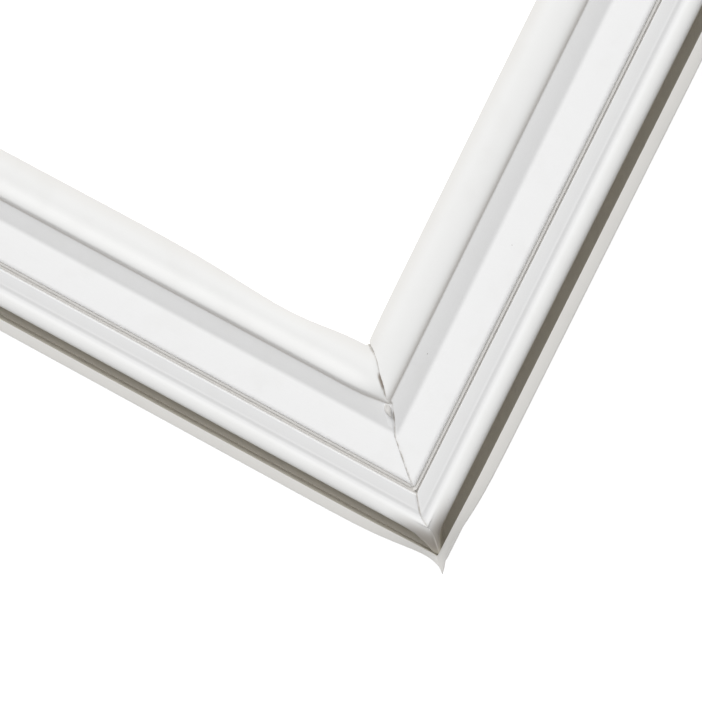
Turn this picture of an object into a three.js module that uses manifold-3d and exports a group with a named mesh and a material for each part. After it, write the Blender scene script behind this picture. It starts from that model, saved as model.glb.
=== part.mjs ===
// Refrigerator door gasket
// One welded loop of hollow soft profile, with a flexible magnet strip in the sleeve of
// each side. Millimetres, +Z up. The loop lies with its sealing side up and stands on the
// flat tip of the push-in dart, at z = 0. The origin is the middle of the loop.
// Across the profile, u runs outwards and is 0 at the lip between the sleeve and the lobe.
import * as THREE from "three";
import { mergeGeometries, mergeVertices } from "three/addons/utils/BufferGeometryUtils.js";
import Module from "manifold-3d";

// The loop, over the outer edges of the fin
const loopWidth = 570;
const loopHeight = 650;

// Walls
const skin = 0.7;
const sleeveWall = 0.65;
const baseThickness = 1;

// Magnet strips
const magnetWidth = 8;
const magnetThickness = 2.2;
const magnetClearance = 0.3;
const magnetSetback = 3;

// Bands of the sealing side, across the profile
const flapWidth = 11;
const crestSetback = 4.2;
const facetWidth = 4.7;
const facetStep = 0.25;
const facetBlend = 0.9;
const grooveWidth = 0.9;
const shoulderWidth = 1.3;
const ledgeWidth = 0.2;
const lipWidth = 0.15;
const lobeWidth = 8.7;
const valleyOffset = 4.1;
const beadOffset = 6.35;
const lobeOverhang = 1.1;
const recessWidth = 2.5;
const finWidth = 3;

// Heights of the sealing side
const bellowsHeight = 2.4;
const facetRise = 1.8;
const flapRise = 1.2;
const flapEdgeDrop = 0.7;
const creaseDepth = 1.1;
const shoulderDrop = 0.6;
const ledgeDrop = 0.15;
const grooveDepth = 1.45;
const lipRise = 0.7;
const lobeFall = 0.95;
const beadRise = 0.15;
const beadRoll = 1.5;
const beadUnderside = 1;
const finDrop = 1.25;
const finFall = 1.7;

// Back of the profile
const dartDepth = 6.5;
const dartStem = 2.4;
const dartBarb = 6.6;
const dartTip = 1.6;
const barbHook = 0.7;
const barbStep = 0.8;
const upperBarbZ = 4;
const lowerBarbZ = 2.2;
const heelWidth = 2.8;
const webThickness = 0.9;
const finNeck = 0.4;
const foldDepth = 1.6;
const slitWidth = 1;
const ventDiameter = 2;
const ventSetback = 1.2;

// Welded corners
const seamDepth = 0.35;
const seamReach = 1.2;
const earPull = 1.5;
const earReach = 15;
const earTip = 2.2;
const stationSteps = [0, 1.2, 4, 9, 17, 30];

// Roundness of the curves: handle lengths in mm, or shares of the stretch they round
const flapHandle = 0.4;
const flapBulge = 0.62;
const creaseReach = 1;
const creaseClimb = 1.4;
const rootReach = 0.8;
const rootClimb = 1.2;
const rootShare = 0.4;
const lipShare = 0.6;
const valleyShare = 0.4;
const beadShare = 0.6;
const undersideShare = 0.2;

// Straight pieces that stand for one curve, and the distance at which corners are one
const skinSegments = 5;
const chamberSegments = 4;
const ventSegments = 12;
const weldTolerance = 1e-4;
const roundingSlack = 0.01;

// Heights, from the dart's tip up to the sealing face
const baseZ = dartDepth;
const floorZ = baseZ + baseThickness;
const sleeveZ = floorZ + bellowsHeight;
const cavityZ = sleeveZ + sleeveWall;
const cavityTopZ = cavityZ + magnetThickness + 2 * magnetClearance;
const faceZ = cavityTopZ + skin;
const facetZ = faceZ + facetRise;
const crestZ = facetZ + flapRise;
const edgeZ = crestZ - flapEdgeDrop;
const creaseZ = facetZ - creaseDepth;
const grooveZ = faceZ - grooveDepth;
const lipZ = faceZ + lipRise;
const valleyZ = lipZ - lobeFall;
const beadZ = valleyZ + beadRise;
const sideZ = beadZ - beadRoll;
const recessZ = sideZ - beadUnderside;
const finZ = faceZ - finDrop;
const finEdgeZ = finZ - finFall;

// Places across the profile
const cavityOuter = -grooveWidth - sleeveWall;
const cavityInner = cavityOuter - magnetWidth - 2 * magnetClearance;
const magnetU = (cavityOuter + cavityInner) / 2;
const creaseU = cavityInner - facetWidth;
const edgeU = creaseU - flapWidth;
const finU = lobeWidth + recessWidth;
const outerU = finU + finWidth;
const crestU = creaseU - crestSetback;
const lobeWallU = lobeWidth - lobeOverhang;
const innerWallU = creaseU - skin / 2;
const heelU = innerWallU - heelWidth;
const webOuterU = finU + webThickness;

// Upper or lower skin of the flap, from the free edge to the crest
function drawFlapTop(s, fromU, fromZ, toU, toZ) {
  const reach = flapHandle * Math.abs(toU - fromU);
  const side = Math.sign(toU - fromU);
  const rise = flapBulge * flapEdgeDrop;
  if (side > 0) s.bezierCurveTo(fromU + reach, fromZ + rise, toU - reach, toZ, toU, toZ);
  else s.bezierCurveTo(fromU - reach, fromZ, toU + reach, toZ + rise, toU, toZ);
}

// Sealing side: flap, facet, sleeve face, groove, lip, lobe
function drawSealingSide(s) {
  drawFlapTop(s, edgeU, edgeZ, crestU, crestZ);
  const [rollU, rollZ] = [creaseU - creaseReach, creaseZ + creaseClimb];
  s.bezierCurveTo(crestU + crestSetback / 2, crestZ, rollU, rollZ, creaseU, creaseZ);
  const facetSlope = facetRise / (facetWidth - facetStep);
  s.lineTo(creaseU + facetStep, facetZ);
  s.lineTo(cavityInner - facetBlend, faceZ + facetBlend * facetSlope);
  s.quadraticCurveTo(cavityInner, faceZ, cavityInner + facetBlend, faceZ);
  s.lineTo(-grooveWidth - shoulderWidth, faceZ);
  s.quadraticCurveTo(-grooveWidth, faceZ, -grooveWidth, faceZ - shoulderDrop);
  s.lineTo(-grooveWidth + ledgeWidth, faceZ - shoulderDrop - ledgeDrop);
  s.lineTo(-grooveWidth / 2, grooveZ);
  s.lineTo(-lipWidth, grooveZ);
  s.lineTo(0, lipZ - lipWidth);
  s.lineTo(lipWidth, lipZ);
  s.quadraticCurveTo(lipShare * valleyOffset, lipZ - lipShare * lobeFall, valleyOffset, valleyZ);
  const rise = valleyShare * (beadOffset - valleyOffset);
  s.bezierCurveTo(valleyOffset + rise, valleyZ, beadOffset - rise, beadZ, beadOffset, beadZ);
  const roll = beadShare * (lobeWidth - beadOffset);
  s.bezierCurveTo(beadOffset + roll, beadZ, lobeWidth, sideZ + beadShare * beadRoll, lobeWidth, sideZ);
}

// Outer side: recess under the lobe, then the fin on its web
function drawOuterSide(s) {
  s.quadraticCurveTo(lobeWidth, recessZ + undersideShare * beadUnderside, lobeWallU, recessZ);
  s.quadraticCurveTo(lobeWallU - foldDepth, (recessZ + floorZ) / 2, lobeWallU, floorZ);
  s.lineTo(finU, floorZ);
  s.lineTo(finU, finZ);
  s.lineTo(outerU, finEdgeZ);
  s.lineTo(outerU, finEdgeZ - skin);
  s.lineTo(webOuterU, finZ - skin - finNeck);
  s.lineTo(webOuterU, baseZ);
}

// Push-in dart: a stem with two pairs of barbs and a flat tip
function drawDart(s) {
  const barbs = [[dartBarb / 2, upperBarbZ], [dartBarb / 2 - barbStep, lowerBarbZ]];
  const stem = dartStem / 2;
  s.lineTo(magnetU + stem, baseZ);
  for (const [reach, z] of barbs) {
    s.lineTo(magnetU + stem, z);
    s.lineTo(magnetU + reach, z + barbHook);
  }
  s.lineTo(magnetU + dartTip / 2, 0);
  s.lineTo(magnetU - dartTip / 2, 0);
  for (const [reach, z] of barbs.toReversed()) {
    s.lineTo(magnetU - reach, z + barbHook);
    s.lineTo(magnetU - stem, z);
  }
  s.lineTo(magnetU - stem, baseZ);
}

// Inner side: heel of the base, folded bellows wall, underside of the flap
function drawInnerSide(s) {
  s.lineTo(heelU, baseZ);
  s.lineTo(heelU, floorZ);
  s.lineTo(innerWallU, floorZ);
  const rootZ = creaseZ - skin;
  const underZ = crestZ - skin;
  s.quadraticCurveTo(innerWallU + foldDepth, (floorZ + rootZ) / 2, innerWallU, rootZ);
  const [rollU, rollZ] = [innerWallU - rootReach, rootZ + rootClimb];
  s.bezierCurveTo(rollU, rollZ, crestU + rootShare * crestSetback, underZ, crestU, underZ);
  drawFlapTop(s, crestU, underZ, edgeU, edgeZ - skin);
}

function profileOutline() {
  const s = new THREE.Shape();
  s.moveTo(edgeU, edgeZ);
  drawSealingSide(s);
  drawOuterSide(s);
  drawDart(s);
  drawInnerSide(s);
  return s;
}

// Bellows chamber, joined through a slit to the magnet sleeve above it
function bellowsOutline() {
  const s = new THREE.Shape();
  const wallU = innerWallU + skin;
  const webU = -grooveWidth;
  const ceilingZ = creaseZ - skin;
  s.moveTo(wallU, floorZ);
  s.lineTo(webU, floorZ);
  s.lineTo(webU, sleeveZ);
  s.lineTo(magnetU + slitWidth / 2, sleeveZ);
  s.lineTo(magnetU + slitWidth / 2, cavityZ);
  s.lineTo(cavityOuter, cavityZ);
  s.lineTo(cavityOuter, cavityTopZ);
  s.lineTo(cavityInner, cavityTopZ);
  s.lineTo(cavityInner, cavityZ);
  s.lineTo(magnetU - slitWidth / 2, cavityZ);
  s.lineTo(magnetU - slitWidth / 2, sleeveZ);
  s.lineTo(cavityInner - sleeveWall, sleeveZ);
  s.lineTo(cavityInner - sleeveWall, cavityTopZ);
  s.lineTo(wallU, ceilingZ);
  s.quadraticCurveTo(wallU + foldDepth, (floorZ + ceilingZ) / 2, wallU, floorZ);
  return s;
}

// Air chamber inside the lobe
function lobeOutline() {
  const s = new THREE.Shape();
  const wallU = lobeWallU - skin;
  s.moveTo(skin / 2, floorZ);
  s.lineTo(wallU, floorZ);
  s.quadraticCurveTo(wallU - foldDepth, (recessZ + floorZ) / 2, wallU, recessZ);
  s.quadraticCurveTo(lobeWidth - skin, sideZ, beadOffset, beadZ - skin);
  s.lineTo(valleyOffset, valleyZ - skin);
  s.lineTo(skin, lipZ - 2 * skin);
  return s;
}

// Side frames, clockwise seen from above: outward direction and half sizes to u = 0
const halfX = loopWidth / 2 - outerU;
const halfY = loopHeight / 2 - outerU;
const sides = [
  { name: "bottom", out: [0, -1], along: halfX, across: halfY },
  { name: "left", out: [-1, 0], along: halfY, across: halfX },
  { name: "top", out: [0, 1], along: halfX, across: halfY },
  { name: "right", out: [1, 0], along: halfY, across: halfX },
];

// Distances from the mitre at which a side has a section, at both of its ends
const stations = [...stationSteps, ...stationSteps.map((d) => -d).reverse()];

// At the weld the skin sinks into a seam and the fin is drawn in, apart from its tip
function weldShape(u, z, d) {
  const seam = seamDepth * Math.max(0, 1 - d / seamReach);
  const height = Math.max(0, z - floorZ) / (faceZ - floorZ);
  const out = Math.min(1, Math.max(0, (u - finU) / finWidth));
  const onFin = u > finU - roundingSlack && z > floorZ + roundingSlack ? 1 : 0;
  const pull = earPull * Math.exp(-((d / earReach) ** 2)) * (1 - out * Math.exp(-d / earTip));
  return [u - onFin * pull, z - seam * height];
}

// Sweeps a section round the loop. The arms meet at their mitres with no lids between them.
function sweepLoop(shape, steps, form, curveSegments) {
  const walls = sides.map((side) => {
    const options = { depth: 1, steps: steps.length - 1, bevelEnabled: false, curveSegments };
    const arm = new THREE.ExtrudeGeometry(shape, options);
    const { start, count } = arm.groups[1];
    const from = arm.getAttribute("position");
    const place = new Float32Array(count * 3);
    for (let i = 0; i < count; i++) {
      const step = steps[Math.round(from.getZ(start + i) * (steps.length - 1))];
      const first = Object.is(step, 0) || step > 0;
      const [u, z] = form(from.getX(start + i), from.getY(start + i), Math.abs(step));
      const run = (side.along + u - Math.abs(step)) * (first ? -1 : 1);
      const [ox, oy] = side.out;
      place[3 * i] = ox * (side.across + u) + oy * run;
      place[3 * i + 1] = oy * (side.across + u) - ox * run;
      place[3 * i + 2] = z;
    }
    return new THREE.BufferGeometry().setAttribute("position", new THREE.BufferAttribute(place, 3));
  });
  return mergeVertices(mergeGeometries(walls), weldTolerance);
}

const wasm = await Module();
wasm.setup();

function solidOf(geometry) {
  const plain = geometry.clone();
  plain.deleteAttribute("normal");
  plain.deleteAttribute("uv");
  const merged = mergeVertices(plain, weldTolerance);
  const triVerts = new Uint32Array(merged.index.array);
  const vertProperties = merged.getAttribute("position").array;
  return new wasm.Manifold(new wasm.Mesh({ numProp: 3, vertProperties, triVerts }));
}

function geometryOf(solid) {
  const { vertProperties, triVerts } = solid.getMesh();
  return new THREE.BufferGeometry()
    .setAttribute("position", new THREE.BufferAttribute(vertProperties, 3))
    .setIndex(new THREE.BufferAttribute(triVerts, 1));
}

// Air vents through the base, one into each chamber at the middle of each side
function ventHoles() {
  const chambers = [creaseU + skin + ventSetback, lobeWallU / 2];
  return sides.flatMap((side) => chambers.map((u) => {
    const radius = ventDiameter / 2;
    const hole = new THREE.CylinderGeometry(radius, radius, 3 * baseThickness, ventSegments);
    hole.rotateX(Math.PI / 2);
    const [ox, oy] = side.out;
    return hole.translate(ox * (side.across + u), oy * (side.across + u), baseZ + baseThickness / 2);
  }));
}

function makeProfile() {
  const plain = (u, z) => [u, z];
  const ends = [0, -0];
  let solid = solidOf(sweepLoop(profileOutline(), stations, weldShape, skinSegments));
  for (const chamber of [bellowsOutline(), lobeOutline()]) {
    solid = solid.subtract(solidOf(sweepLoop(chamber, ends, plain, chamberSegments)));
  }
  for (const hole of ventHoles()) {
    solid = solid.subtract(solidOf(hole));
  }
  const material = new THREE.MeshStandardMaterial({ color: 0xf2f2f0, roughness: 0.45, metalness: 0 });
  const mesh = new THREE.Mesh(geometryOf(solid), material);
  mesh.name = "door_gasket_profile";
  return mesh;
}

function makeMagnet(side) {
  const length = 2 * (side.along + magnetU - magnetWidth / 2 - magnetSetback);
  const material = new THREE.MeshStandardMaterial({ color: 0x3a322e, roughness: 0.8, metalness: 0.1 });
  const mesh = new THREE.Mesh(new THREE.BoxGeometry(length, magnetWidth, magnetThickness), material);
  const [ox, oy] = side.out;
  const across = side.across + magnetU;
  mesh.position.set(ox * across, oy * across, cavityZ + magnetClearance + magnetThickness / 2);
  mesh.rotation.z = Math.atan2(oy, ox) + Math.PI / 2;
  mesh.name = "magnet_strip_" + side.name;
  return mesh;
}

const gasket = new THREE.Group();
gasket.add(makeProfile());
for (const side of sides) {
  gasket.add(makeMagnet(side));
}

export default gasket;
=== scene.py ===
# %% [markdown]
# # A refrigerator door gasket
# The real thing is a hollow profile of soft white PVC. It is cut to four lengths, welded at
# its mitred corners, and holds a magnet strip in each side. Here the magnets come from the
# CAD frame, and the profile is modelled again as a fine mesh with its welds and flaps.

# %% Load the frame
import math

import bpy
from mathutils import Matrix, Vector
from mathutils.geometry import interpolate_bezier


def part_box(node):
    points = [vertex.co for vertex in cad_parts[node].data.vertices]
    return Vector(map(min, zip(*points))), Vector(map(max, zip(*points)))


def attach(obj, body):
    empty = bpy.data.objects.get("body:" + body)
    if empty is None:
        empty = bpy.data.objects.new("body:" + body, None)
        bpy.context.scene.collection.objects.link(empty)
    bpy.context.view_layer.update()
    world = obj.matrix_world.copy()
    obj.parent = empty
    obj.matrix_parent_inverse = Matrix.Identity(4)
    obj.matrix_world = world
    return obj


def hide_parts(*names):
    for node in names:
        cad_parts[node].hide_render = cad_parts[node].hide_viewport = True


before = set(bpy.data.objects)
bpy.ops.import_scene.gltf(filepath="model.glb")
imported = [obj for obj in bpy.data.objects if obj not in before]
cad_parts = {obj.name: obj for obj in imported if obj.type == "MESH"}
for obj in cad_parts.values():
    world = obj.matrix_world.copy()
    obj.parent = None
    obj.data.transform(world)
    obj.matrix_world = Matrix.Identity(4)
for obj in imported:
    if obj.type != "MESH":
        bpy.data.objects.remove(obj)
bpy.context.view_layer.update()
profile_low, profile_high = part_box("door_gasket_profile")
MM = 0.001

# %% [markdown]
# ## The camera
# The photograph looks down on one corner, about fifteen degrees off the vertical. A long lens
# keeps each arm's bands nearly parallel, as they are in the picture. The camera comes first,
# because every later choice is judged through it.

# %% Place the camera
lens = 200
camera_distance = 914.7
lean_x = math.radians(12.2)
lean_y = math.radians(9.3)
picture_up = math.radians(116.8)
fin_to_lip = 14.2
aim_offset = Vector((-29.0 - fin_to_lip, 22.4 + fin_to_lip, -3.05))

corner = Vector((profile_high.x, profile_low.y, profile_high.z))
lean = Vector((math.sin(lean_x), math.sin(lean_y)))
back = Vector((lean.x, lean.y, math.sqrt(1 - lean.length_squared)))
right = Vector((math.cos(picture_up), math.sin(picture_up), 0)).cross(back).normalized()
up = back.cross(right)
turn = Matrix((right, up, back)).transposed()
place = corner + (aim_offset + back * camera_distance) * MM
bpy.ops.object.camera_add(location=place, rotation=turn.to_euler())
camera = bpy.context.object
camera.name = "photo_camera"
camera.data.lens = lens
bpy.context.scene.camera = camera
print("Camera leans", round(math.degrees(math.acos(back.z)), 1), "degrees off the vertical")

# %% [markdown]
# ## The section of the profile
# A gasket is pushed through a die, so its section says nearly everything. Across the
# profile, `u` runs outwards from the lip beside the magnet sleeve, and `z` runs up from the
# tip of the dart. All these sizes are in millimetres. The walls, the sleeve and the magnet
# come first, because the magnet is a standard strip and sets the scale of all the rest.

# %% Walls, sleeve and magnet
skin = 0.7
sleeve_wall = 0.65
base_thickness = 1
magnet_width = 8
magnet_thickness = 2.2
magnet_clearance = 0.3
bellows_height = 2.4
slit_width = 1
vent_diameter = 2
vent_setback = 1.2

# %% [markdown]
# The widths follow the bands of the picture from the flap's free edge to the fin. The last few
# are the small steps and roundings between the bands.

# %% Widths of the bands
flap_width = 11
crest_setback = 4.2
facet_width = 4.7
shoulder_width = 1.3
groove_width = 0.9
lobe_width = 8.7
lobe_overhang = 1.1
recess_width = 2.7
fin_width = 2.8
valley_offset = 4.5
bead_offset = 6.35
ridge_u = 3.4
lip_u = 0.35
lip_width = 0.15
ledge_width = 0.2
facet_step = 0.25
facet_blend = 0.65
crease_blend = 0.5

# %% [markdown]
# The heights can't be measured from above. They are judged by the shading: a band that turns
# away from the light is darker, and a deep one is dark on all sides.

# %% Heights of the bands
facet_rise = 1.8
flap_rise = 1.2
flap_edge_drop = 0.7
crease_depth = 1.1
shoulder_drop = 0.7
ledge_drop = 0.15
groove_depth = 1.35
lip_rise = 0.7
lobe_fall = 0.95
bead_rise = 0.15
bead_roll = 1.5
bead_underside = 1
fin_drop = 1.25
fin_fall = 1.25

# %% [markdown]
# The back is out of sight in the picture, so its sizes are those of a usual push-in gasket.

# %% Dart and back
dart_depth = 6.5
dart_stem = 2.4
dart_barb = 6.6
dart_tip = 1.6
barb_hook = 0.7
barb_step = 0.8
upper_barb_z = 4
lower_barb_z = 2.2
heel_width = 2.8
web_thickness = 0.9
fin_neck = 0.4
fold_depth = 1.6

# %% [markdown]
# Everything else follows from those sizes: first the heights, from the dart up to the
# sealing face, then the places across.

# %% Heights and places
base_z = dart_depth
floor_z = base_z + base_thickness
sleeve_z = floor_z + bellows_height
cavity_z = sleeve_z + sleeve_wall
cavity_top_z = cavity_z + magnet_thickness + 2 * magnet_clearance
face_z = cavity_top_z + skin
facet_z = face_z + facet_rise
crest_z = facet_z + flap_rise
edge_z = crest_z - flap_edge_drop
crease_z = facet_z - crease_depth
groove_z = face_z - groove_depth
lip_z = face_z + lip_rise
valley_z = lip_z - lobe_fall
bead_z = valley_z + bead_rise
side_z = bead_z - bead_roll
recess_z = side_z - bead_underside
fin_z = face_z - fin_drop
fin_edge_z = fin_z - fin_fall

cavity_outer = -groove_width - sleeve_wall
cavity_inner = cavity_outer - magnet_width - 2 * magnet_clearance
magnet_u = (cavity_outer + cavity_inner) / 2
crease_u = cavity_inner - facet_width
edge_u = crease_u - flap_width
fin_u = lobe_width + recess_width
outer_u = fin_u + fin_width
crest_u = crease_u - crest_setback
lobe_wall_u = lobe_width - lobe_overhang
inner_wall_u = crease_u - skin / 2
heel_u = inner_wall_u - heel_width
web_outer_u = fin_u + web_thickness
half_x = profile_high.x / MM - outer_u
half_y = profile_high.y / MM - outer_u
print("Profile", round(outer_u - edge_u, 1), "mm wide, face at", round(face_z, 2), "mm")


# %% [markdown]
# An outline keeps a list of points. A straight stretch adds one point, and a curved one adds
# several on a Bezier curve, so flat walls stay cheap and the rounded lobes come out smooth. A
# curve object could hold the section too, but a plain list shows at once how fine each bend is.

# %% Outline helper
class Outline:
    """A closed line across the profile, drawn stretch by stretch, in millimetres."""

    def __init__(self, u, z):
        self.points = [Vector((u, z))]

    def line(self, u, z):
        self.points.append(Vector((u, z)))

    def curve(self, out, into, u, z, steps):
        """Adds a Bezier curve that ends at u, z, with the two given handles."""
        ends = self.points[-1], Vector(out), Vector(into), Vector((u, z))
        curve = interpolate_bezier(*(p.to_3d() for p in ends), steps + 1)
        self.points += [p.to_2d() for p in curve[1:]]

    def bend(self, via_u, via_z, u, z, steps):
        """Adds a rounded bend to u, z that leans on the corner at via_u, via_z."""
        via = Vector((via_u, via_z))
        out = self.points[-1].lerp(via, 2 / 3)
        into = Vector((u, z)).lerp(via, 2 / 3)
        self.curve(out, into, u, z, steps)


# %% [markdown]
# The sealing side comes first. The soft flap rises over a crest and rolls down into the
# crease, where the sloping facet starts, and the facet ends in the flat face over the magnet.
# Two long curves give the flap its roll. An extruded edge is never quite sharp, so small
# bends round the others.

# %% Flap, facet and face
flap_reach = 0.4 * (crest_u - edge_u)
flap_bulge = 0.62 * flap_edge_drop
limb_reach = 0.55 * crest_setback
limb_lean = 0.7
limb_gap = 0.15
limb_z = facet_z + crease_blend / 2
crease_dip = 0.05
facet_slope = facet_rise / (facet_width - facet_step)
foot_z = facet_z - (crease_blend - facet_step) * facet_slope


def draw_flap_and_face(o):
    o.curve((edge_u + flap_reach, edge_z + flap_bulge), (crest_u - flap_reach, crest_z),
            crest_u, crest_z, steps=10)
    o.curve((crest_u + limb_reach, crest_z), (crease_u - limb_lean, limb_z + limb_lean),
            crease_u - limb_gap, limb_z, steps=16)
    o.bend(crease_u, facet_z - crease_dip, crease_u + crease_blend, foot_z, steps=5)
    o.line(cavity_inner - facet_blend, face_z + facet_blend * facet_slope)
    o.bend(cavity_inner, face_z, cavity_inner + facet_blend, face_z, steps=10)
    o.line(-groove_width - shoulder_width, face_z)


# %% [markdown]
# The narrow groove beside the face shows in the picture as two thin dark lines. A painted line
# would vanish from the side, so it gets its real steps: a rounded shoulder, a small ledge, a
# slot and a thin lip. Then the lobe falls over a faint ridge into a valley, and swells again
# into the bead at its outer edge.

# %% Groove and lobe
ledge_u = -groove_width - ledge_width
ledge_z = face_z - shoulder_drop
ledge_round = 0.25
ledge_rise = 0.05
shoulder_start = (0.5, 0.02)
shoulder_end = (0.05, 0.3)
slot_u = -groove_width / 2
slot_draft = 0.1
lip_draft = 0.02
ridge_path = [(-0.5, 0.62), (-0.2, 0.68), (0.1, 0.7)]
valley_lead = 0.3
bead_reach = 0.4 * (bead_offset - valley_offset)
bead_overhang = 0.6 * (lobe_width - bead_offset)


def draw_groove(o):
    out = (ledge_u - shoulder_start[0], face_z - shoulder_start[1])
    into = (ledge_u - shoulder_end[0], face_z - shoulder_end[1])
    o.curve(out, into, ledge_u, ledge_z, steps=12)
    o.bend(ledge_u, ledge_z - ledge_round, ledge_u + ledge_round, ledge_z - ledge_rise, steps=4)
    o.line(slot_u, ledge_z - ledge_drop)
    o.line(slot_u + slot_draft, groove_z)
    o.line(lip_u - lip_width, groove_z)
    o.line(lip_u - lip_draft, lip_z - lip_width)
    o.bend(lip_u, lip_z, lip_u + lip_width, lip_z - lip_draft, steps=4)


def draw_lobe(o):
    before, top, after = [(ridge_u + along, lip_z - share * lobe_fall) for along, share in ridge_path]
    o.line(*before)
    o.bend(*top, *after, steps=4)
    o.bend(valley_offset - valley_lead, valley_z, valley_offset, valley_z, steps=6)
    o.curve((valley_offset + bead_reach, valley_z), (bead_offset - bead_reach, bead_z),
            bead_offset, bead_z, steps=10)
    o.curve((bead_offset + bead_overhang, bead_z), (lobe_width, side_z + 0.6 * bead_roll),
            lobe_width, side_z, steps=12)


# %% [markdown]
# The lobe tucks under itself into the deep recess, whose wall is folded so that it can give.
# Behind the recess a web carries the thin fin, which hangs outwards over the edge of the door.

# %% Recess and fin
lobe_tuck = 0.2 * bead_underside
fin_round = (0.12, 0.07)
fin_tip = (0.25, 0.14, 0.1)
web_round = (0.3, 0.4)
base_round = 0.15
neck_z = fin_z - skin - fin_neck


def draw_outer_side(o):
    o.bend(lobe_width, recess_z + lobe_tuck, lobe_wall_u, recess_z, steps=6)
    o.bend(lobe_wall_u - fold_depth, (recess_z + floor_z) / 2, lobe_wall_u, floor_z, steps=10)
    o.line(fin_u, floor_z)
    o.line(fin_u, fin_z - fin_round[0])
    o.bend(fin_u, fin_z, fin_u + fin_round[0], fin_z - fin_round[1], steps=4)
    o.line(outer_u - fin_tip[0], fin_edge_z + fin_tip[1])
    o.bend(outer_u, fin_edge_z, outer_u, fin_edge_z - skin / 2, steps=4)
    o.bend(outer_u, fin_edge_z - skin, outer_u - fin_tip[0], fin_edge_z - skin + fin_tip[2], steps=4)
    o.line(web_outer_u + web_round[0], neck_z)
    o.bend(web_outer_u, neck_z, web_outer_u, neck_z - web_round[1], steps=4)
    o.line(web_outer_u, base_z + base_round)
    o.line(web_outer_u - base_round, base_z)


# %% [markdown]
# The dart on the back is pushed into a groove of the door. Its two pairs of barbs fold in on
# the way and spread behind the groove's edge. Both sides are alike, so one list of barbs
# serves to draw down the one side and up the other.

# %% Dart
stem = dart_stem / 2
stem_round = 0.3
barb_round = 0.1
barb_tip = 0.15
barbs = [(dart_barb / 2, upper_barb_z), (dart_barb / 2 - barb_step, lower_barb_z)]


def draw_dart(o):
    o.line(magnet_u + stem + stem_round, base_z)
    o.bend(magnet_u + stem, base_z, magnet_u + stem, base_z - stem_round, steps=4)
    for reach, z in barbs:
        hook_z = z + barb_hook
        o.line(magnet_u + stem, z)
        o.line(magnet_u + reach - barb_round, hook_z)
        o.bend(magnet_u + reach, hook_z, magnet_u + reach - barb_round, hook_z - barb_tip, steps=3)
    o.line(magnet_u + dart_tip / 2, 0)
    o.line(magnet_u - dart_tip / 2, 0)
    for reach, z in reversed(barbs):
        hook_z = z + barb_hook
        o.line(magnet_u - reach + barb_round, hook_z - barb_tip)
        o.bend(magnet_u - reach, hook_z, magnet_u - reach + barb_round, hook_z, steps=3)
        o.line(magnet_u - stem, z)
    o.line(magnet_u - stem, base_z - stem_round)
    o.bend(magnet_u - stem, base_z, magnet_u - stem - stem_round, base_z, steps=4)


# %% [markdown]
# The line comes back along the heel and the folded wall of the bellows, which lets the whole
# face move in and out, and then under the flap to its free edge.

# %% Inner side
root_z = crease_z - skin
under_z = crest_z - skin
root_lean = (0.8, 1.2)
under_reach = 0.4 * crest_setback
flap_edge_inset = 0.15
flap_edge_bulge = 0.2


def draw_inner_side(o):
    o.line(heel_u + base_round, base_z)
    o.line(heel_u, base_z + base_round)
    o.line(heel_u, floor_z)
    o.line(inner_wall_u, floor_z)
    o.bend(inner_wall_u + fold_depth, (floor_z + root_z) / 2, inner_wall_u, root_z, steps=10)
    o.curve((inner_wall_u - root_lean[0], root_z + root_lean[1]), (crest_u + under_reach, under_z),
            crest_u, under_z, steps=8)
    o.curve((crest_u - flap_reach, under_z), (edge_u + flap_reach, edge_z - skin + flap_bulge),
            edge_u + flap_edge_inset, edge_z - skin, steps=10)
    o.bend(edge_u - flap_edge_bulge, edge_z - skin / 2, edge_u, edge_z, steps=5)


skin_outline = Outline(edge_u, edge_z)
draw_flap_and_face(skin_outline)
draw_groove(skin_outline)
draw_lobe(skin_outline)
draw_outer_side(skin_outline)
draw_dart(skin_outline)
draw_inner_side(skin_outline)
print("Skin outline has", len(skin_outline.points), "points")

# %% [markdown]
# Two chambers run inside. The bellows chamber opens through a slit into the magnet's sleeve,
# and the lobe holds a little air of its own. One outline can't hold the skin and both
# chambers, so they are drawn by themselves and cut out later. Nobody sees them, so a coarse
# outline does.

# %% Chambers
wall_u = inner_wall_u + skin
bellows = Outline(wall_u, floor_z)
bellows.line(-groove_width, floor_z)
bellows.line(-groove_width, sleeve_z)
bellows.line(magnet_u + slit_width / 2, sleeve_z)
bellows.line(magnet_u + slit_width / 2, cavity_z)
bellows.line(cavity_outer, cavity_z)
bellows.line(cavity_outer, cavity_top_z)
bellows.line(cavity_inner, cavity_top_z)
bellows.line(cavity_inner, cavity_z)
bellows.line(magnet_u - slit_width / 2, cavity_z)
bellows.line(magnet_u - slit_width / 2, sleeve_z)
bellows.line(cavity_inner - sleeve_wall, sleeve_z)
bellows.line(cavity_inner - sleeve_wall, cavity_top_z)
bellows.line(wall_u, root_z)
bellows.bend(wall_u + fold_depth, (floor_z + root_z) / 2, wall_u, floor_z, steps=5)

air_wall_u = lobe_wall_u - skin
air = Outline(skin / 2, floor_z)
air.line(air_wall_u, floor_z)
air.bend(air_wall_u - fold_depth, (recess_z + floor_z) / 2, air_wall_u, recess_z, steps=5)
air.bend(lobe_width - skin, side_z, bead_offset, bead_z - skin, steps=4)
air.line(valley_offset, valley_z - skin)
air.line(skin, lip_z - 2 * skin)
print("Chamber outlines have", len(bellows.points), "and", len(air.points), "points")


# %% [markdown]
# ## From the section to a welded loop
# A curve with this section as its bevel would run round the loop in one go, but its corners
# would pinch, and every arm would be the same. So one vertex is extruded from point to point
# until the line closes, and the closed line is extruded along an arm, ring by ring. The rings
# stand closer together at the weld, where the shape changes most.

# %% Draw a line, then extrude it
merge_distance = 0.005 * MM


def only(obj):
    """Leaves obj alone selected and active, in object mode."""
    bpy.ops.object.select_all(action="DESELECT")
    obj.select_set(True)
    bpy.context.view_layer.objects.active = obj


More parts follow.
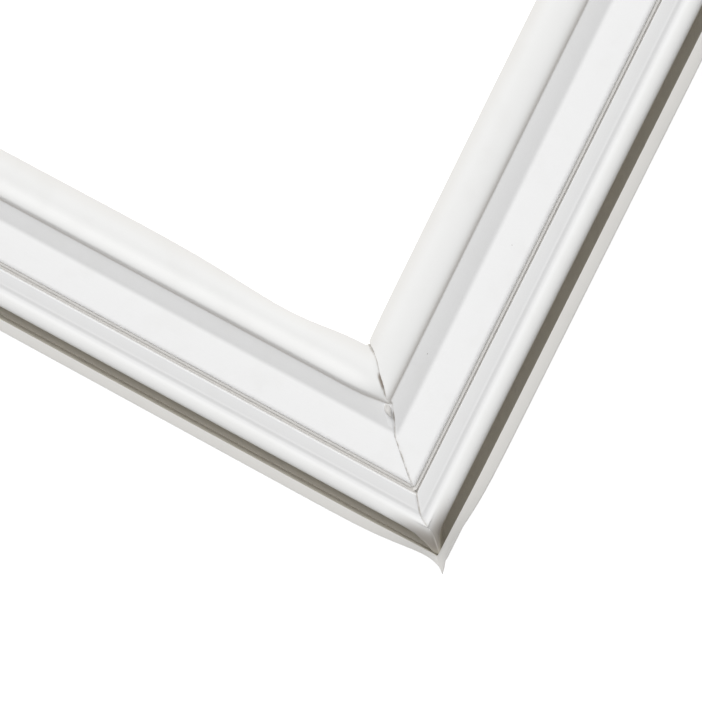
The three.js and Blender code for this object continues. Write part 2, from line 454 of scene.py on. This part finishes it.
def drawn_line(name, outline):
    """Makes a closed line of edges from an outline. Edit mode stays in vertex select."""
    points = [p * MM for p in outline.points]
    bpy.ops.object.select_all(action="DESELECT")
    bpy.ops.mesh.primitive_plane_add(size=MM)
    obj = bpy.context.object
    obj.name = name
    bpy.ops.object.mode_set(mode="EDIT")
    bpy.ops.mesh.select_all(action="SELECT")
    bpy.ops.mesh.merge(type="CENTER")
    bpy.ops.transform.translate(value=(points[0].x, 0, points[0].y))
    for here, there in zip(points, points[1:] + points[:1]):
        move = {"value": (there.x - here.x, 0, there.y - here.y)}
        bpy.ops.mesh.extrude_vertices_move(TRANSFORM_OT_translate=move)
    bpy.ops.mesh.select_all(action="SELECT")
    bpy.ops.mesh.remove_doubles(threshold=merge_distance)
    bpy.ops.object.mode_set(mode="OBJECT")
    return obj


def extruded_arm(line, half_length, stations):
    """Extrudes a copy of the line along Y, with a ring at each distance from both ends."""
    first = [-half_length + d for d in stations]
    rings = first + [-y for y in reversed(first)]
    only(line)
    bpy.ops.object.duplicate()
    arm = bpy.context.object
    bpy.ops.object.mode_set(mode="EDIT")
    bpy.ops.mesh.select_all(action="SELECT")
    bpy.ops.transform.translate(value=(0, rings[0] * MM, 0))
    for here, there in zip(rings, rings[1:]):
        move = {"value": (0, (there - here) * MM, 0)}
        bpy.ops.mesh.extrude_region_move(TRANSFORM_OT_translate=move)
    bpy.ops.object.mode_set(mode="OBJECT")
    return arm


# %% [markdown]
# ## What the weld does
# The two cut ends are melted and pressed together by hand, so no seam is quite straight. The
# skin sinks into it, the fin is drawn in and leaves a pointed ear, and the lobe spreads until
# it closes the recess. The soft flap waves a little beside the photographed corner, and one
# flap end rides up over the other. Sculpting could give this too, but moves that are set by
# numbers can be put right one at a time, and they are the same in every run.

# %% Sizes of the weld
seam_depth = 0.4
seam_reach = 0.45
fin_pull = 0.4
ear_pull = 1.9
ear_reach = 15
ear_tip = 1.7
lobe_gap = 0.05
lobe_sag = 1.1
lobe_sag_reach = 3
lobe_sag_width = 1.5
flap_pull = 0.1
flap_pull_reach = 9
flap_curl = 1.5
flap_wave_reach = 23
flap_step_reach = 4
crease_pinch = 0.9
pinch_reach = 5
pinch_width = 2.5
tight_roll = 0.7
tight_reach = 5
roll_width = 1.2
wander_reach = 3
slack = 0.01
seam_path = [(-26, 0.4), (-23, 1.1), (-19, 0.7), (-16, 0.1), (-14, 0.8), (-12, 0.3), (-11.6, -0.2),
             (-9, -0.7), (-4, -0.6), (-1.5, -0.3), (-0.5, -0.6), (0, 0.1), (3.8, -0.5), (7.7, 0.4),
             (10, 0), (14, -0.4)]


def smooth(low, high, value):
    """Rises gently from 0 at low to 1 at high, and falls where high is the lower one."""
    share = min(1, max(0, (value - low) / (high - low)))
    return share * share * (3 - 2 * share)


def bell(value, reach):
    """1 at 0, and little past the reach."""
    return math.exp(-(value / reach) ** 2)


def seam_offset(u):
    """How far the seam strays from the true mitre, at a place across the profile."""
    for (from_u, from_s), (to_u, to_s) in zip(seam_path, seam_path[1:]):
        if u <= to_u:
            return from_s + (to_s - from_s) * smooth(from_u, to_u, u)
    return seam_path[-1][1]


# %% [markdown]
# The weld changes each part of the section in its own way, so each has a small function. It
# gets a place `u`, `z` on the section and the distance `d` from the mitre, and gives back how
# far that place moves. The bell curve makes each change fade out along the arm.

# %% Shape near a corner
def fin_shift(u, d):
    """The fin is drawn in beside the seam, and its end stays out as a pointed ear."""
    out = min(1, max(0, (u - fin_u) / fin_width))
    pull = fin_pull + (ear_pull - fin_pull) * out
    return -pull * bell(d, ear_reach) * (1 - out * math.exp(-d / ear_tip))


def lobe_move(u, z, d, end):
    """The lobe sags at the seam and spreads until it closes the recess."""
    low = 1 - smooth(side_z - 0.2, bead_z, z)
    spread = min(1, end["spread"] * bell(d, end["flare"]) + bell(d, 1))
    shift = max(0, fin_u - fin_pull - lobe_gap - u) * low * spread
    outer = smooth(bead_offset - lobe_sag_width, lobe_width, u)
    sag = lobe_sag * outer * smooth(floor_z, side_z, z) * bell(d, lobe_sag_reach)
    return shift, -sag


def flap_move(u, d, end):
    """The flap waves, rolls tighter on some arms, and steps up or down at the seam."""
    free = max(0, (crest_u - u) / (crest_u - edge_u)) ** flap_curl
    turn = (d / flap_wave_reach) ** 2
    shift = free * flap_pull * bell(d, flap_pull_reach)
    shift += free * end["wave"] * turn * math.exp(1 - turn)
    rolled = smooth(crest_u - 1, crease_u - roll_width, u) * smooth(crease_u, crease_u - roll_width, u)
    lift = end["tight"] * tight_roll * rolled * (1 - bell(d, tight_reach))
    if d > 5 * slack:
        lift += end["step"] * bell(d, flap_step_reach) * smooth(crease_u, crest_u, u)
    return shift, lift


def weld_shape(u, z, d, end):
    """Moves a point of the section as the weld does at a distance d from the mitre."""
    height = max(0, z - floor_z) / (face_z - floor_z)
    sink = -seam_depth * bell(d, seam_reach) * min(1, height)
    if u > fin_u - slack and z > floor_z + slack:
        return u, z, fin_shift(u, d), seam_offset(u), 0
    if u > lobe_wall_u - fold_depth and z > floor_z - slack:
        shift, lift = lobe_move(u, z, d, end)
        return u, z + sink + lift, shift, seam_offset(u), 0
    if u < crease_u + pinch_width and z > root_z:
        shift, lift = flap_move(u, d, end)
        near = smooth(crest_u - 1, crease_u, u)
        pinch = crease_pinch * near * smooth(crease_u + pinch_width, crease_u + 0.5, u)
        return u, z + sink + lift, shift, seam_offset(u), pinch
    return u, z + sink, 0, seam_offset(u), 0


# %% [markdown]
# Each arm is bent to its mitres by moving its vertices: a ring at distance `d` from the end
# becomes a slanted ring at the same distance from the mitre plane. Two arms then share their
# last ring exactly, and merging by distance welds them. Every vertex also keeps where it was
# on the straight profile, as an attribute, so that the materials can find the bands. Each end
# has its own numbers: how far it strays along the seam's path, how much its flap waves, whether
# the flap is rolled tightly, how far it steps up at the seam, and how far the recess closes.

# %% Settings of the welded ends
close_spread = 1.2


def weld_end(strays, wave, tight, step, flare):
    """One welded end. An end that strays forward, above 0, rides over its neighbour."""
    return {"strays": strays, "wave": wave, "tight": tight, "step": step, "flare": flare,
            "spread": close_spread if strays > 0 else 1}


sides = [
    {"name": "bottom", "out": Vector((0, -1)), "along": half_x, "across": half_y,
     "start": weld_end(1, 1.6, 1, 0.25, 3.5), "end": weld_end(-0.6, 0.4, 1, -0.3, 2)},
    {"name": "left", "out": Vector((-1, 0)), "along": half_y, "across": half_x,
     "start": weld_end(0.6, 0.8, 0, 0.4, 4), "end": weld_end(-0.5, 0, 0, -0.4, 2)},
    {"name": "top", "out": Vector((0, 1)), "along": half_x, "across": half_y,
     "start": weld_end(0.5, 1.1, 1, 0.5, 3.5), "end": weld_end(-0.8, 0.5, 1, -0.3, 2)},
    {"name": "right", "out": Vector((1, 0)), "along": half_y, "across": half_x,
     "start": weld_end(0.8, 0.6, 0, 0.3, 4.5), "end": weld_end(-1, 0, 0, -0.3, 2)},
]
for side in sides:
    print("The", side["name"], "arm is", round(2 * side["along"], 1), "mm long at the lip")

# %% [markdown]
# The chambers meet in a true mitre, so their plain shape leaves every point of the section where
# it is. An arm is placed the same way with either shape.

# %% Place an arm
def plain_shape(u, z, d, end):
    """Leaves a point of the section where it is."""
    return u, z, 0, 0, 0


def place_arm(arm, side, form):
    """Mitres an arm at both ends and brings it to its side of the loop."""
    out = side["out"]
    run_way = Vector((out.y, -out.x))
    places = arm.data.attributes.new("place", "FLOAT_VECTOR", "POINT")
    for v in arm.data.vertices:
        u, y, z = v.co / MM
        way = 1 if y > 0 else -1
        d = side["along"] - abs(y)
        places.data[v.index].vector = (u, z, d)
        end = side["end"] if y > 0 else side["start"]
        u, z, shift, stray, pinch = form(u, z, d, end)
        stray *= end["strays"]
        pinch *= abs(end["strays"])
        run = side["along"] + u + shift - d + stray * bell(d, wander_reach)
        u += shift - stray * bell(d, seam_reach)
        if end["strays"] > 0:
            u -= pinch * bell(d, pinch_reach)
        else:
            run -= pinch * bell(d, wander_reach)
        flat = out * (side["across"] + u) + run_way * run * way
        v.co = Vector((flat.x, flat.y, z)) * MM


# %% [markdown]
# One drawn line serves for all four arms. The count of vertices on an open edge shows whether
# the welds are closed: it has to be 0, or the chambers can't be cut out later.

# %% Weld the loops
weld_stations = [0, 0.15, 0.35, 0.6, 0.9, 1.3, 1.8, 2.5, 3.3, 4.3, 5.5, 7, 8.5, 10, 12, 14, 16.5, 19,
                 22, 25, 28.5, 32, 36, 41, 47, 54, 62, 72, 90, 120]
plain_stations = [0, 30]


def welded_loop(name, outline, stations, form):
    """Draws, extrudes and places four arms of the outline, and welds them to one loop."""
    line = drawn_line(name + "_line", outline)
    arms = []
    for side in sides:
        arm = extruded_arm(line, side["along"], stations)
        place_arm(arm, side, form)
        arms.append(arm)
    only(line)
    bpy.ops.object.delete()
    for arm in arms:
        arm.select_set(True)
    bpy.context.view_layer.objects.active = arms[0]
    bpy.ops.object.join()
    loop = bpy.context.object
    loop.name = name
    bpy.ops.object.mode_set(mode="EDIT")
    bpy.ops.mesh.select_all(action="SELECT")
    bpy.ops.mesh.remove_doubles(threshold=merge_distance)
    bpy.ops.mesh.normals_make_consistent(inside=False)
    bpy.ops.mesh.select_all(action="DESELECT")
    bpy.ops.mesh.select_non_manifold()
    bpy.ops.object.mode_set(mode="OBJECT")
    loose = sum(v.select for v in loop.data.vertices)
    print(name, "has", len(loop.data.vertices), "vertices,", loose, "of them on an open edge")
    return loop


gasket = welded_loop("gasket_profile", skin_outline, weld_stations, weld_shape)
chambers = [welded_loop("bellows_chamber", bellows, plain_stations, plain_shape),
            welded_loop("lobe_chamber", air, plain_stations, plain_shape)]


# %% [markdown]
# ## Hollow inside
# Solidify would give one even wall, which the sleeve and the folded walls don't have. So the
# chambers come out of the skin with a boolean, and so do the vents. Each chamber breathes
# through one small hole in the base at the middle of each side.

# %% Cut the chambers and vents
vent_sides = 32


def combine(obj, other, operation):
    """Cuts the other object from obj or joins it on, and deletes it."""
    only(obj)
    bpy.ops.object.modifier_add(type="BOOLEAN")
    tool = obj.modifiers[-1]
    tool.operation = operation
    tool.solver = "MANIFOLD"
    tool.object = other
    before = len(obj.data.polygons)
    bpy.ops.object.modifier_apply(modifier=tool.name)
    print(operation.lower(), other.name, "changed", abs(len(obj.data.polygons) - before), "faces")
    only(other)
    bpy.ops.object.delete()


for chamber in chambers:
    combine(gasket, chamber, "DIFFERENCE")
for side in sides:
    for u in (crease_u + skin + vent_setback, lobe_wall_u / 2):
        flat = side["out"] * (side["across"] + u)
        middle = Vector((flat.x, flat.y, base_z + base_thickness / 2)) * MM
        bpy.ops.object.select_all(action="DESELECT")
        bpy.ops.mesh.primitive_cylinder_add(
            vertices=vent_sides, radius=vent_diameter / 2 * MM, depth=3 * base_thickness * MM,
            location=middle)
        combine(gasket, bpy.context.object, "DIFFERENCE")

# %% [markdown]
# Where the creases of two arms meet, the weld squeezes out a small drop of melted PVC. A bump
# in the material would be flat from the side, so it is a real drop, joined to the skin. It
# starts as a sphere, is stretched along the mitre, and is then pushed into a dented teardrop.
# Its `place` is one spot in the groove, away from the seam, so it takes the groove's painted shade.

# %% Weld drops
drop_length = 1.8
drop_width = 0.85
drop_height = 0.55
drop_rise = 0.85
drop_out = 0.4
drop_taper = 0.45
drop_bow = 0.25
drop_dent = 0.45
dent_place = 0.35
dent_reach = 0.4
drop_place = (slot_u, groove_z, 2)


def weld_drop(corner_x, corner_y, size):
    """Joins a drop of PVC to the weld of the corner on that side of the loop."""
    way = math.atan2(corner_y, corner_x)
    u = crease_u + drop_out
    middle = Vector((corner_x * (half_x + u), corner_y * (half_y + u), crease_z + drop_rise)) * MM
    bpy.ops.object.select_all(action="DESELECT")
    bpy.ops.mesh.primitive_ico_sphere_add(subdivisions=4, radius=size * MM)
    drop = bpy.context.object
    places = drop.data.attributes.new("place", "FLOAT_VECTOR", "POINT")
    for v in drop.data.vertices:
        places.data[v.index].vector = drop_place
        out, side, rise = v.co / (size * MM)
        taper = 1 - drop_taper * smooth(-0.2, 1, out)
        dent = drop_dent * bell(math.hypot(out + dent_place, side), dent_reach) * max(0, rise)
        across = (side * taper + drop_bow * out * out) * drop_width
        v.co = Vector((out * drop_length, across, (rise - dent) * drop_height)) * size * MM
    bpy.ops.transform.rotate(value=-way, orient_axis="Z", center_override=(0, 0, 0))
    bpy.ops.transform.translate(value=middle)
    bpy.ops.object.transform_apply(location=True, rotation=True, scale=True)
    combine(gasket, drop, "UNION")


for corner_x, corner_y, size in ((1, -1, 1), (-1, -1, 0.7), (-1, 1, 0.85), (1, 1, 0.6)):
    weld_drop(corner_x, corner_y, size)

# %% [markdown]
# The flap and the lobe are smooth, but the groove's steps and the fin's foot are real edges.
# Smooth shading by angle keeps both. Then the fine profile takes the place of the plain one.

# %% Shade and hand over the profile
sharp_angle = math.radians(42)
only(gasket)
bpy.ops.object.shade_smooth_by_angle(angle=sharp_angle)
print("Hollow profile has", len(gasket.data.polygons), "faces")
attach(gasket, "root")
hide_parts("door_gasket_profile")

# %% [markdown]
# ## Materials
# Everything is procedural. A few small helpers keep the node trees readable, and each shared
# effect is a node group with named sockets.

# %% Node helpers
def node(tree, kind, inputs=None, **settings):
    """Adds a node, and links or sets its inputs."""
    n = tree.nodes.new(kind)
    for name, value in settings.items():
        setattr(n, name, value)
    for key, value in (inputs or {}).items():
        if isinstance(value, bpy.types.NodeSocket):
            tree.links.new(value, n.inputs[key])
        else:
            n.inputs[key].default_value = value
    return n


def maths(tree, operation, a, b=0.0):
    return node(tree, "ShaderNodeMath", {0: a, 1: b}, operation=operation).outputs[0]


def times(tree, mask, *others):
    """The product of several masks."""
    for other in others:
        mask = maths(tree, "MULTIPLY", mask, other)
    return mask


def stretched(tree, value, low, high, to_low, to_high):
    """A value moved from one range to another."""
    limits = {"Value": value, "From Min": low, "From Max": high, "To Min": to_low, "To Max": to_high}
    return node(tree, "ShaderNodeMapRange", limits).outputs[0]


def ramp(tree, value, low, high):
    """A smooth step from 0 at low to 1 at high, in whichever order the two lie."""
    values = {"Value": value, "From Min": low, "From Max": high}
    return node(tree, "ShaderNodeMapRange", values, interpolation_type="SMOOTHSTEP").outputs[0]


def band(tree, value, start, end, soft):
    """A mask that is 1 between start and end, with soft edges outside them."""
    return times(tree, ramp(tree, value, start - soft, start), ramp(tree, value, end + soft, end))


def blend(tree, share, a, b):
    """Colour a turned into colour b by the share of a mask."""
    mix = node(tree, "ShaderNodeMix", data_type="RGBA")
    for key, value in ((0, share), (6, a), (7, b)):
        if isinstance(value, bpy.types.NodeSocket):
            tree.links.new(value, mix.inputs[key])
        else:
            mix.inputs[key].default_value = value
    return mix.outputs[2]


def srgb(red, green, blue):
    """A colour as it is picked from a picture, 0 to 255, in the linear values that nodes use."""
    flat = [v / 255 for v in (red, green, blue)]
    return tuple(v / 12.92 if v < 0.04045 else ((v + 0.055) / 1.055) ** 2.4 for v in flat) + (1,)


def group(name, inputs, outputs):
    """A node group with named sockets. Returns the tree, its input node and its output node."""
    tree = bpy.data.node_groups.new(name, "ShaderNodeTree")
    for socket, kind, value in inputs:
        made = tree.interface.new_socket(socket, in_out="INPUT", socket_type="NodeSocket" + kind)
        made.default_value = value
    for socket, kind in outputs:
        tree.interface.new_socket(socket, in_out="OUTPUT", socket_type="NodeSocket" + kind)
    return tree, tree.nodes.new("NodeGroupInput"), tree.nodes.new("NodeGroupOutput")


def use(tree, name, inputs=None):
    """Places a node group in a tree."""
    return node(tree, "ShaderNodeGroup", inputs, node_tree=bpy.data.node_groups[name])


# %% [markdown]
# The skin is one white with painted shade where the real gasket lies in shade: in the deep
# recess, at the bottom of the groove, where the flap rolls into the crease, along the seam and at
# the lobe's end, and faintly on the facets, the flap and the bead. A picture of it would have to
# be painted. Masks made from the `place` attribute of the modelling follow the bands by
# themselves, so first the group finds the bands of the section.

# %% Bands of the skin
# Apart from White and Fin, every tint here is painted shade.
tints = ["White", "Flap Shade", "Slope", "Fin", "Roll Shade", "Lobe End Shade", "Recess Shade", "Deep Shade", "Groove Shade", "Seam", "Gap Shade"]
tree, given, result = group(
    "Skin colour and painted shade", [(tint, "Color", (0.5, 0.5, 0.5, 1)) for tint in tints], [("Color", "Color")])
place = node(tree, "ShaderNodeAttribute", attribute_name="place").outputs["Vector"]
across, height, along = node(tree, "ShaderNodeSeparateXYZ", {0: place}).outputs

outside = ramp(tree, height, floor_z, sleeve_z)
# The flap and the bead face the sun; their tint is a faint painted shade that tones them down.
flap_shade_mask = ramp(tree, across, crease_u, crease_u - 1)
bead_shade_mask = ramp(tree, across, valley_offset, bead_offset)
fin_mask = ramp(tree, across, fin_u + 0.05, fin_u + 0.15)
# The facet and the lobe's inner face slope away from the sun, and get a faint painted shade.
facet_mask = band(tree, across, crease_u, cavity_inner - 0.3, 0.6)
lip_mask = band(tree, across, lip_u + 0.2, valley_offset + 0.3, 0.6)
slope_shade_mask = times(tree, maths(tree, "MAXIMUM", facet_mask, lip_mask),
                   ramp(tree, height, sleeve_z, face_z - 1))
# The recess gets painted shade on its walls and floor, a little less of it on the floor.
recess_shade_mask = times(tree, band(tree, across, lobe_wall_u - fold_depth, fin_u + 0.04, 0.04),
                    ramp(tree, height, side_z + 0.8, side_z - 0.2),
                    ramp(tree, height, floor_z - 0.4, floor_z - 0.1))
deep_shade_mask = times(tree, recess_shade_mask, ramp(tree, height, side_z - 0.5, floor_z))
# Painted shade at the bottom of the groove.
groove_shade_mask = times(tree, band(tree, across, -groove_width - 0.1, lip_u - lip_width, 0.25),
                    ramp(tree, height, face_z - 0.1, ledge_z), outside)
# Painted shade where the flap rolls down into the crease, and along its free edge.
roll_shade_mask = times(tree, ramp(tree, across, crease_u - 3.6, crease_u - 1),
                  ramp(tree, across, crease_u + 0.3, crease_u - 0.2),
                  ramp(tree, height, crest_z - 0.1, facet_z))
flap_edge_shade_mask = times(tree, ramp(tree, across, edge_u + 4, edge_u), 0.4)

# %% [markdown]
# The seam is a faint dark line of painted shade that breaks off here and there, which a slow
# noise across the profile gives. In two places it gapes, with a brown painted shade, and the
# lobe's end gets painted shade where it slopes down to the corner.

# %% Masks of the weld
seam_width = (0.1, 0.35)
gap_width = (0.2, 0.6)
lobe_end_shade_reach = 13
faint = 0.25
crevice_share = 0.55

# Painted shade along the seam's groove, broken off by a slow noise.
noise = node(tree, "ShaderNodeTexNoise", {"W": across, "Scale": 0.55}, noise_dimensions="1D")
breaks = stretched(tree, noise.outputs["Fac"], 0.4, 0.6, faint, 1)
seam_shade_mask = times(tree, ramp(tree, along, seam_width[1], seam_width[0]), outside,
                  ramp(tree, across, fin_u - 1.5, fin_u - 2.5), breaks)
# Brown painted shade where the seam gapes.
crevice = times(tree, band(tree, across, -13.2, -12.6, 0.5), crevice_share)
torn = maths(tree, "MAXIMUM", band(tree, across, -20, -18.4, 1.2), crevice)
gap_shade_mask = times(tree, ramp(tree, along, gap_width[1], gap_width[0]), torn, outside)
# Painted shade on the lobe's end by the corner, where it slopes down and out.
lobe_end_shade_mask = times(tree, band(tree, across, lobe_width - 0.2, lobe_width + 0.5, 3.2),
                   ramp(tree, along, lobe_end_shade_reach, 0.5), outside)

# %% [markdown]
# Each tint is laid over the ones before it, like coats of thin paint, so the order matters:
# the dark groove and the seam come last.

# %% Colour of the skin
coats = [("Flap Shade", flap_shade_mask), ("Flap Shade", bead_shade_mask), ("Slope", slope_shade_mask), ("Fin", fin_mask),
         ("Roll Shade", maths(tree, "MAXIMUM", roll_shade_mask, flap_edge_shade_mask)), ("Lobe End Shade", lobe_end_shade_mask),
         ("Recess Shade", recess_shade_mask), ("Deep Shade", deep_shade_mask), ("Groove Shade", groove_shade_mask),
         ("Seam", seam_shade_mask), ("Gap Shade", gap_shade_mask)]
colour = given.outputs["White"]
for tint, mask in coats:
    colour = blend(tree, mask, colour, given.outputs[tint])
tree.links.new(colour, result.inputs["Color"])
print("Skin colour and painted shade lays", len(coats), "coats over the white")

# %% [markdown]
# A speck of dirt is a soft dot round a point of the surface. A ball-shaped mask needs no
# picture and no unwrapping: it is the distance to the speck's middle, and a stretch makes the
# dot an oval.

# %% Speck of dirt
tree, given, result = group(
    "Speck",
    [("Middle", "Vector", (0, 0, 0)), ("Radius", "Float", 0.2), ("Stretch", "Vector", (1, 1, 1))],
    [("Mask", "Float")])
point = node(tree, "ShaderNodeTexCoord").outputs["Object"]
away = point
for operation, other in (("SUBTRACT", given.outputs["Middle"]), ("MULTIPLY", given.outputs["Stretch"])):
    away = node(tree, "ShaderNodeVectorMath", {0: away, 1: other}, operation=operation).outputs[0]
away = node(tree, "ShaderNodeVectorMath", {0: away}, operation="LENGTH").outputs["Value"]
core = times(tree, given.outputs["Radius"], 0.5)
tree.links.new(ramp(tree, away, given.outputs["Radius"], core), result.inputs["Mask"])

# %% [markdown]
# Soft PVC has a fine matt grain, and the die leaves faint lines along every arm. The lines are
# noise in the section's own directions, stretched far along the arm. A slow noise stands for
# the slightly uneven white of a handled gasket.

# %% Grain and die lines
along_stretch = (1, 1, 0.02)
tree, given, result = group(
    "Extruded skin",
    [("Place", "Vector", (0, 0, 0)), ("Grain Scale", "Float", 2600), ("Line Scale", "Float", 2.2),
     ("Mottle Scale", "Float", 140)],
    [("Height", "Float"), ("Mottle", "Float")])
point = node(tree, "ShaderNodeTexCoord").outputs["Object"]
drawn_out = node(tree, "ShaderNodeVectorMath", {0: given.outputs["Place"], 1: along_stretch},
                 operation="MULTIPLY").outputs[0]


def noise_of(vector, scale, detail):
    """The value of a noise with the scale that the group is given."""
    settings = {"Vector": vector, "Scale": given.outputs[scale], "Detail": detail}
    return node(tree, "ShaderNodeTexNoise", settings).outputs["Fac"]


grain = noise_of(point, "Grain Scale", 3)
lines = noise_of(drawn_out, "Line Scale", 2)
tree.links.new(maths(tree, "ADD", grain, lines), result.inputs["Height"])
tree.links.new(noise_of(point, "Mottle Scale", 4), result.inputs["Mottle"])

# %% [markdown]
# Both rubbers are plain, dull and slightly rough. One helper sets up such a material with the
# Principled shader, and a second one adds a very low relief.

# %% Rubber helpers
relief_depth = 0.05 * MM


def principled(name, roughness, specular):
    """A new material, its tree and its shader."""
    material = bpy.data.materials.new(name)
    material.use_nodes = True
    shader = material.node_tree.nodes["Principled BSDF"]
    shader.inputs["Roughness"].default_value = roughness
    shader.inputs["Specular IOR Level"].default_value = specular
    return material, material.node_tree, shader


def relief(tree, height, strength, shader):
    """Bumps the shader's normal by a height."""
    inputs = {"Height": height, "Strength": strength, "Distance": relief_depth}
    tree.links.new(node(tree, "ShaderNodeBump", inputs).outputs[0], shader.inputs["Normal"])


# %% [markdown]
# The white PVC gets its tints, then a few specks of dirt at their own places on the
# photographed corner, and last a trace of handling. Its gloss changes with the same slow noise,
# as on skin that hands have touched.

# %% Soft PVC
specks = [((258.7, -280.3, 15), 0.22, (1, 0.5, 1)), ((258.9, -279.1, 15), 0.14, (1, 0.7, 1)),
          ((255.9, -235.8, 15.4), 0.16, (1, 1, 1)), ((265, -248.6, 14.05), 0.13, (1, 1, 1)),
          ((266.8, -308.4, 13.9), 0.2, (1, 1, 1)), ((278.3, -308.6, 13.9), 0.15, (1, 1, 1)),
          ((246.9, -321.6, 12.5), 0.16, (1, 1, 1))]
dirt = srgb(148, 144, 138)
handled = srgb(218, 216, 212)
handled_share = 0.1
pvc, tree, shader = principled("soft_white_pvc", 0.5, 0.35)
# Apart from the white and the fin's warmer white, each colour given here is painted shade.
skin_colour_and_shade = use(tree, "Skin colour and painted shade", {
    "White": srgb(243, 243, 243), "Flap Shade": srgb(238, 238, 237), "Recess Shade": srgb(199, 195, 184),
    "Deep Shade": srgb(207, 202, 192), "Groove Shade": srgb(211, 209, 206), "Roll Shade": srgb(221, 217, 211),
    "Seam": srgb(192, 188, 182), "Gap Shade": srgb(150, 140, 130), "Lobe End Shade": srgb(155, 149, 141),
    "Slope": srgb(236, 236, 236), "Fin": srgb(242, 240, 236)})
colour = skin_colour_and_shade.outputs["Color"]
for middle, radius, stretch in specks:
    speck = use(tree, "Speck", {"Middle": Vector(middle) * MM, "Radius": radius * MM, "Stretch": stretch})
    colour = blend(tree, speck.outputs["Mask"], colour, dirt)
where = node(tree, "ShaderNodeAttribute", attribute_name="place").outputs["Vector"]
surface = use(tree, "Extruded skin", {"Place": where})
mottle = surface.outputs["Mottle"]
colour = blend(tree, times(tree, ramp(tree, mottle, 0.45, 0.75), handled_share), colour, handled)
tree.links.new(colour, shader.inputs["Base Color"])
tree.links.new(stretched(tree, mottle, 0.3, 0.7, 0.46, 0.56), shader.inputs["Roughness"])
relief(tree, surface.outputs["Height"], 0.15, shader)
gasket.data.materials.clear()
gasket.data.materials.append(pvc)
print("Soft PVC has", len(specks), "specks of dirt")

# %% [markdown]
# The magnet strips lie unseen in their sleeves. Their shape in the frame is good as it is, so
# they only get the dull dark look of rubber that is filled with ferrite powder.

# %% Magnet strips
powder_scale = 3000
ferrite, tree, shader = principled("ferrite_rubber", 0.8, 0.3)
point = node(tree, "ShaderNodeTexCoord").outputs["Object"]
powder = node(tree, "ShaderNodeTexNoise", {"Vector": point, "Scale": powder_scale, "Detail": 4})
powder = powder.outputs["Fac"]
colour = blend(tree, ramp(tree, powder, 0.35, 0.65), srgb(58, 52, 48), srgb(70, 63, 58))
tree.links.new(colour, shader.inputs["Base Color"])
relief(tree, powder, 0.3, shader)
strips = [obj for name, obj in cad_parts.items() if name.startswith("magnet_strip")]
for strip in strips:
    for slot in strip.material_slots:
        slot.material = ferrite
print("Ferrite rubber on", len(strips), "magnet strips")

# %% [markdown]
# ## Floor and light
# The picture's ground is pure white. More light on the object would wash it out, so the floor
# itself gives the camera and the reflections a little light of its own. The object's shadow
# still falls on it.

# %% Floor
floor_size = 30
floor_glow = 0.72
bpy.ops.object.select_all(action="DESELECT")
bpy.ops.mesh.primitive_plane_add(size=floor_size)
ground = bpy.context.object
ground.name = "floor"
paper, tree, shader = principled("white_floor", 0.9, 0.1)
shader.inputs["Base Color"].default_value = (0.9, 0.9, 0.9, 1)
rays = node(tree, "ShaderNodeLightPath").outputs
seen = maths(tree, "MAXIMUM", rays["Is Camera Ray"], rays["Is Glossy Ray"])
seen = maths(tree, "MAXIMUM", seen, rays["Is Transmission Ray"])
glow_inputs = {"Color": (1, 1, 1, 1), "Strength": times(tree, seen, floor_glow)}
glow = node(tree, "ShaderNodeEmission", glow_inputs)
both = node(tree, "ShaderNodeAddShader", {0: shader.outputs[0], 1: glow.outputs[0]})
tree.links.new(both.outputs[0], tree.nodes["Material Output"].inputs["Surface"])
ground.data.materials.append(paper)

# %% [markdown]
# The sky lights everything evenly. One broad sun shines from inside the loop, outwards over the
# photographed corner, so that the faces that slope outwards and the crease come out darker.

# %% Light
sky_strength = 0.42
sun_strength = 2.5
sun_softness = math.radians(40)
sun_tilt = math.radians(45)
sun_turn = math.radians(137)
world = bpy.data.worlds.new("studio")
bpy.context.scene.world = world
world.use_nodes = True
sky = world.node_tree.nodes["Background"]
sky.inputs["Color"].default_value = (1, 1, 1, 1)
sky.inputs["Strength"].default_value = sky_strength

bpy.ops.object.light_add(type="SUN", rotation=(0, sun_tilt, sun_turn))
sun = bpy.context.object
sun.name = "soft_key"
sun.data.energy = sun_strength
sun.data.angle = sun_softness
bpy.context.scene.view_settings.view_transform = "Standard"
print("Sun", sun_strength, "and sky", sky_strength)
